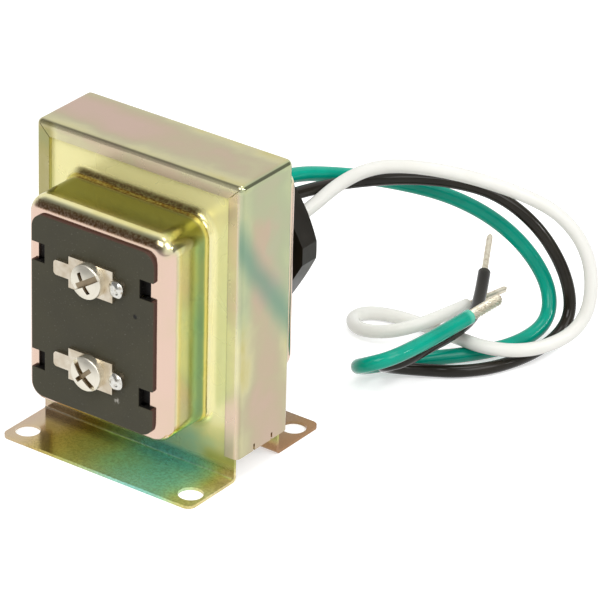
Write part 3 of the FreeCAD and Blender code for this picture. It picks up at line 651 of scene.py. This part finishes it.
tinned_wire, tree, shader = new_material("tinned_copper", 0.85, 0.35)
grime = noise(tree, place_on(tree), 900.0, 3.0)
wire_shade = ramp(tree, grime, [
    (0.25, (0.55, 0.48, 0.35)), (0.5, (0.76, 0.70, 0.56)), (0.8, (0.84, 0.80, 0.68))])
tree.links.new(wire_shade, shader.inputs["Base Color"])
tree.links.new(spread(tree, grime, 0.3, 0.7, 0.5, 0.28), shader.inputs["Roughness"])
bump(tree, shader, grime, 0.015 * MM)
for name in ("crimp_white", "crimp_black"):
    dress(name, tinned_wire)
dress("ground_tab", cover_metal)

for colour, route in routes_mm.items():
    points = np.array(route) * MM
    pvc, tree, shader = new_material(f"{colour}_pvc", 0.0, 0.3)
    shader.inputs["Specular IOR Level"].default_value = 0.27
    place = place_on(tree)
    axes = axes_of(tree)
    bloom = noise(tree, place, 130.0, 4.0)
    dark_shade, light_shade = pvc_shades[colour]
    shade = ramp(tree, bloom, [(0.3, dark_shade), (0.7, light_shade)])
    # Low by the table, where the body shades the loop, the leads' colour is painted lighter: painted light.
    lit_low = times(tree, zone(tree, axes["Z"], 11, 5), zone(tree, axes["X"], 32, 20), 0.85)
    shade = tinted(tree, lit_low, shade, painted_light_low[colour])
    from_cut = distance_from(tree, points[-1])
    cut = spread(tree, from_cut, lead_radius[colour], 1.5 * lead_radius[colour], 0.6, 0.0, True)
    tree.links.new(tinted(tree, cut, shade, cut_shade[colour]), shader.inputs["Base Color"])
    tree.links.new(spread(tree, bloom, 0.3, 0.7, 0.10, 0.17), shader.inputs["Roughness"])
    bump(tree, shader, noise(tree, place, 2200.0), 0.004 * MM)
    piece = lead_curve(f"lead_{colour}_insulation", points, lead_radius[colour])
    piece.data.materials.append(pvc)
    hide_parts(f"lead_{colour}")
    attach(piece, "root")
    along = (points[-1] - points[-2]) / np.linalg.norm(points[-1] - points[-2])
    wires = bare_wires(colour, points[-1], along, tinned_wire)
    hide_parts(f"conductor_{colour}")


# Studio
# White paper under a white surround; both stay white for the camera, and the paper is clear from below.
# Two soft lamps stand left and right of the camera, one hangs above, and a small one stands at the right.
table_half = 3.0
table_z = -0.05 * MM
paper_sheet = bpy.data.meshes.new("white_table")
paper_sheet.from_pydata(
    [(-table_half, -table_half, table_z), (table_half, -table_half, table_z),
     (table_half, table_half, table_z), (-table_half, table_half, table_z)],
    [], [(0, 1, 2, 3)])
table = bpy.data.objects.new("white_table", paper_sheet)
bpy.context.scene.collection.objects.link(table)
paper, tree, shader = new_material("white_paper", 0.0, 0.9)
shader.inputs["Base Color"].default_value = (0.82, 0.82, 0.82, 1)
shader.inputs["Specular IOR Level"].default_value = 0.0
shader.inputs["Emission Color"].default_value = (1, 1, 1, 1)
rays = node(tree, "LightPath", {}).outputs
tree.links.new(times(tree, rays["Is Camera Ray"], 0.5), shader.inputs["Emission Strength"])
lit_paper = spread(tree, axes_of(tree)["Y"], -0.40, -0.20, 0.4, 1.0, True)
mirrored_paper = node(tree, "Emission", {"Color": (1, 1, 1, 1), "Strength": lit_paper})
either = node(tree, "MixShader",
              {0: rays["Is Glossy Ray"], 1: shader.outputs[0], 2: mirrored_paper.outputs[0]})
from_below = node(tree, "NewGeometry", {}).outputs["Backfacing"]
clear = node(tree, "BsdfTransparent", {})
one_sided = node(tree, "MixShader", {0: from_below, 1: either.outputs[0], 2: clear.outputs[0]})
tree.links.new(one_sided.outputs[0], tree.nodes["Material Output"].inputs["Surface"])
table.data.materials.append(paper)

world = bpy.data.worlds.new("studio")
bpy.context.scene.world = world
world.use_nodes = True
tree = world.node_tree
background = tree.nodes["Background"]
background.inputs["Color"].default_value = (1, 1, 1, 1)
rays = node(tree, "LightPath", {}).outputs
sky = node(tree, "TexCoord", {}).outputs["Generated"]
dark_side = (-0.35, -0.78, 0.52)
dark_patch = (0.67, 0.72, 0.22)
towards_dark = node(tree, "VectorMath", {0: sky, 1: dark_side}, operation="DOT_PRODUCT").outputs["Value"]
towards_patch = node(tree, "VectorMath", {0: sky, 1: dark_patch}, operation="DOT_PRODUCT").outputs["Value"]
mirrored = times(tree, spread(tree, towards_dark, 0.3, 0.85, 0.9, 0.2, True),
                 spread(tree, towards_patch, 0.86, 0.95, 1.0, 0.25, True))
fill = between(tree, rays["Is Glossy Ray"], 0.74, mirrored)
tree.links.new(math_of(tree, "MAXIMUM", rays["Is Camera Ray"], fill), background.inputs["Strength"])


def directions(azimuth, elevation):
    """Level, upright and backward directions of a lamp or camera at an azimuth and elevation in degrees."""
    a = math.radians(azimuth)
    e = math.radians(elevation)
    back = np.array([math.sin(a) * math.cos(e), -math.cos(a) * math.cos(e), math.sin(e)])
    level = np.array([math.cos(a), math.sin(a), 0.0])
    return level, np.cross(back, level), back


def stand(name, data, level, upright, back, spot):
    """Stands a lamp or camera at a spot, turned to its three directions."""
    place = np.eye(4)
    place[:3] = np.c_[level, upright, back, spot]
    holder = bpy.data.objects.new(name, data)
    holder.matrix_world = Matrix(place.tolist())
    bpy.context.scene.collection.objects.link(holder)
    return holder


def lamp(name, azimuth, elevation, distance, size, watts):
    """Square soft lamp aimed at the object from an azimuth and elevation in degrees."""
    light = bpy.data.lights.new(name, "AREA")
    light.size = size
    light.energy = watts
    level, upright, back = directions(azimuth, elevation)
    stand(name, light, level, upright, back, lamp_aim + distance * back)


lamp_aim = np.array([0.0, 0.02, 0.03])
lamp("left_softbox", 12, 53, 1.0, 0.50, 3.5)
lamp("right_softbox", 84, 44, 1.0, 0.50, 2.3)
lamp("overhead_softbox", 150, 75, 1.2, 0.3, 1.0)
lamp("side_softbox", 114, 25, 1.0, 0.10, 0.8)


# Camera
# A long lens at the height and turn of the photograph, tipped a little to one side.
# It stands under a metre off, before the right-hand corner of the terminal side.
camera_aim = np.array([14.23, 26.39, 23.36]) * MM
camera_distance = 934.8 * MM
camera_azimuth = 35.50
camera_elevation = 27.52
roll = math.radians(1.47)
level, upright, back = directions(camera_azimuth, camera_elevation)
lens = bpy.data.cameras.new("studio_camera")
lens.lens = 282.12
lens.sensor_width = 36.0
lens.clip_start = 0.01
rolled_level = math.cos(roll) * level + math.sin(roll) * upright
rolled_upright = math.cos(roll) * upright - math.sin(roll) * level
camera_spot = camera_aim + camera_distance * back
bpy.context.scene.camera = stand("studio_camera", lens, rolled_level, rolled_upright, back, camera_spot)
bpy.context.scene.view_settings.view_transform = "Standard"
